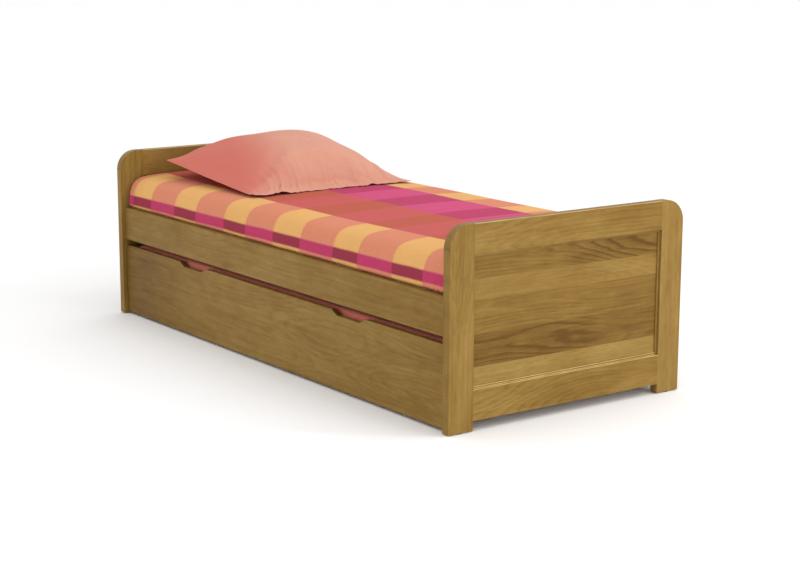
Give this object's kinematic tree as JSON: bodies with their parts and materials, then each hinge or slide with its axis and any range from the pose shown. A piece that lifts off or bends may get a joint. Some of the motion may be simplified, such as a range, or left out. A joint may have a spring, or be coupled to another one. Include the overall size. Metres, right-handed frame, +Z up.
{
  "type": "trundle bed",
  "caption": "Single wooden bed with panelled ends, slatted base, plaid bedspread and pillow, and a full-length drawer bed that rolls out on castors.",
  "frame": {"origin": "centre of the plan at floor level", "axes": "+X along the bed to the foot end, -Y to the side the drawer bed leaves by, +Z up"},
  "size_m": [1.968, 0.88, 0.6635],
  "materials": {
    "oak": "satin",
    "pine": "matte",
    "steel": "satin",
    "zinc": "matte",
    "nylon": "matte",
    "mattress_ticking": "matte",
    "plaid_cotton": "matte",
    "coral_cotton": "matte",
    "red_cotton": "matte"
  },
  "bodies": {
    "bed_frame": {"head_stile_front": "oak", "head_stile_back": "oak", "head_top_rail": "oak", "head_bottom_rail": "oak", "head_panel": "oak", "foot_stile_front": "oak", "foot_stile_back": "oak", "foot_top_rail": "oak", "foot_bottom_rail": "oak", "foot_panel": "oak", "side_rail_front": "oak", "side_rail_back": "oak", "slat_cleat_front": "pine", "slat_cleat_back": "pine", "bed_slat_1": "pine", "bed_slat_2": "pine", "bed_slat_3": "pine", "bed_slat_4": "pine", "bed_slat_5": "pine", "bed_slat_6": "pine", "bed_slat_7": "pine", "bed_slat_8": "pine", "bed_slat_9": "pine", "bed_slat_10": "pine", "rail_cam_bolts": "steel", "rail_cam_locks": "zinc", "rail_dowels": "pine", "bed_screws": "steel", "foot_glides": "nylon", "mattress": "mattress_ticking", "bedspread": "plaid_cotton", "pillow": "coral_cotton"},
    "drawer_bed": {"drawer_front": "oak", "drawer_back": "oak", "drawer_end_head": "oak", "drawer_end_foot": "oak", "drawer_cleat_front": "pine", "drawer_cleat_back": "pine", "castor_bearer_head": "pine", "castor_bearer_foot": "pine", "drawer_slat_1": "pine", "drawer_slat_2": "pine", "drawer_slat_3": "pine", "drawer_slat_4": "pine", "drawer_slat_5": "pine", "drawer_slat_6": "pine", "drawer_slat_7": "pine", "drawer_slat_8": "pine", "drawer_mattress": "red_cotton", "castor_bracket_1": "zinc", "castor_bracket_2": "zinc", "castor_bracket_3": "zinc", "castor_bracket_4": "zinc", "castor_axles": "steel", "castor_screws": "steel", "drawer_screws": "steel"},
    "wheel_1": {"castor_wheel_1": "nylon"},
    "wheel_2": {"castor_wheel_2": "nylon"},
    "wheel_3": {"castor_wheel_3": "nylon"},
    "wheel_4": {"castor_wheel_4": "nylon"}
  },
  "joints": [
    {"name": "drawer_roll", "type": "slide", "parent": "bed_frame", "child": "drawer_bed", "axis": [0, -1, 0], "range_m": [0, 0.9]},
    {"name": "wheel_1_turn", "type": "hinge", "parent": "drawer_bed", "child": "wheel_1", "pos_m": [-0.896, -0.37, 0.025], "axis": [1, 0, 0], "continuous": true},
    {"name": "wheel_2_turn", "type": "hinge", "parent": "drawer_bed", "child": "wheel_2", "pos_m": [-0.896, 0.358, 0.025], "axis": [1, 0, 0], "continuous": true},
    {"name": "wheel_3_turn", "type": "hinge", "parent": "drawer_bed", "child": "wheel_3", "pos_m": [0.896, -0.37, 0.025], "axis": [1, 0, 0], "continuous": true},
    {"name": "wheel_4_turn", "type": "hinge", "parent": "drawer_bed", "child": "wheel_4", "pos_m": [0.896, 0.358, 0.025], "axis": [1, 0, 0], "continuous": true}
  ],
  "couplings": [
    {"joint": "wheel_1_turn", "follows": "drawer_roll", "rad_per_m": 40},
    {"joint": "wheel_2_turn", "follows": "drawer_roll", "rad_per_m": 40},
    {"joint": "wheel_3_turn", "follows": "drawer_roll", "rad_per_m": 40},
    {"joint": "wheel_4_turn", "follows": "drawer_roll", "rad_per_m": 40}
  ]
}
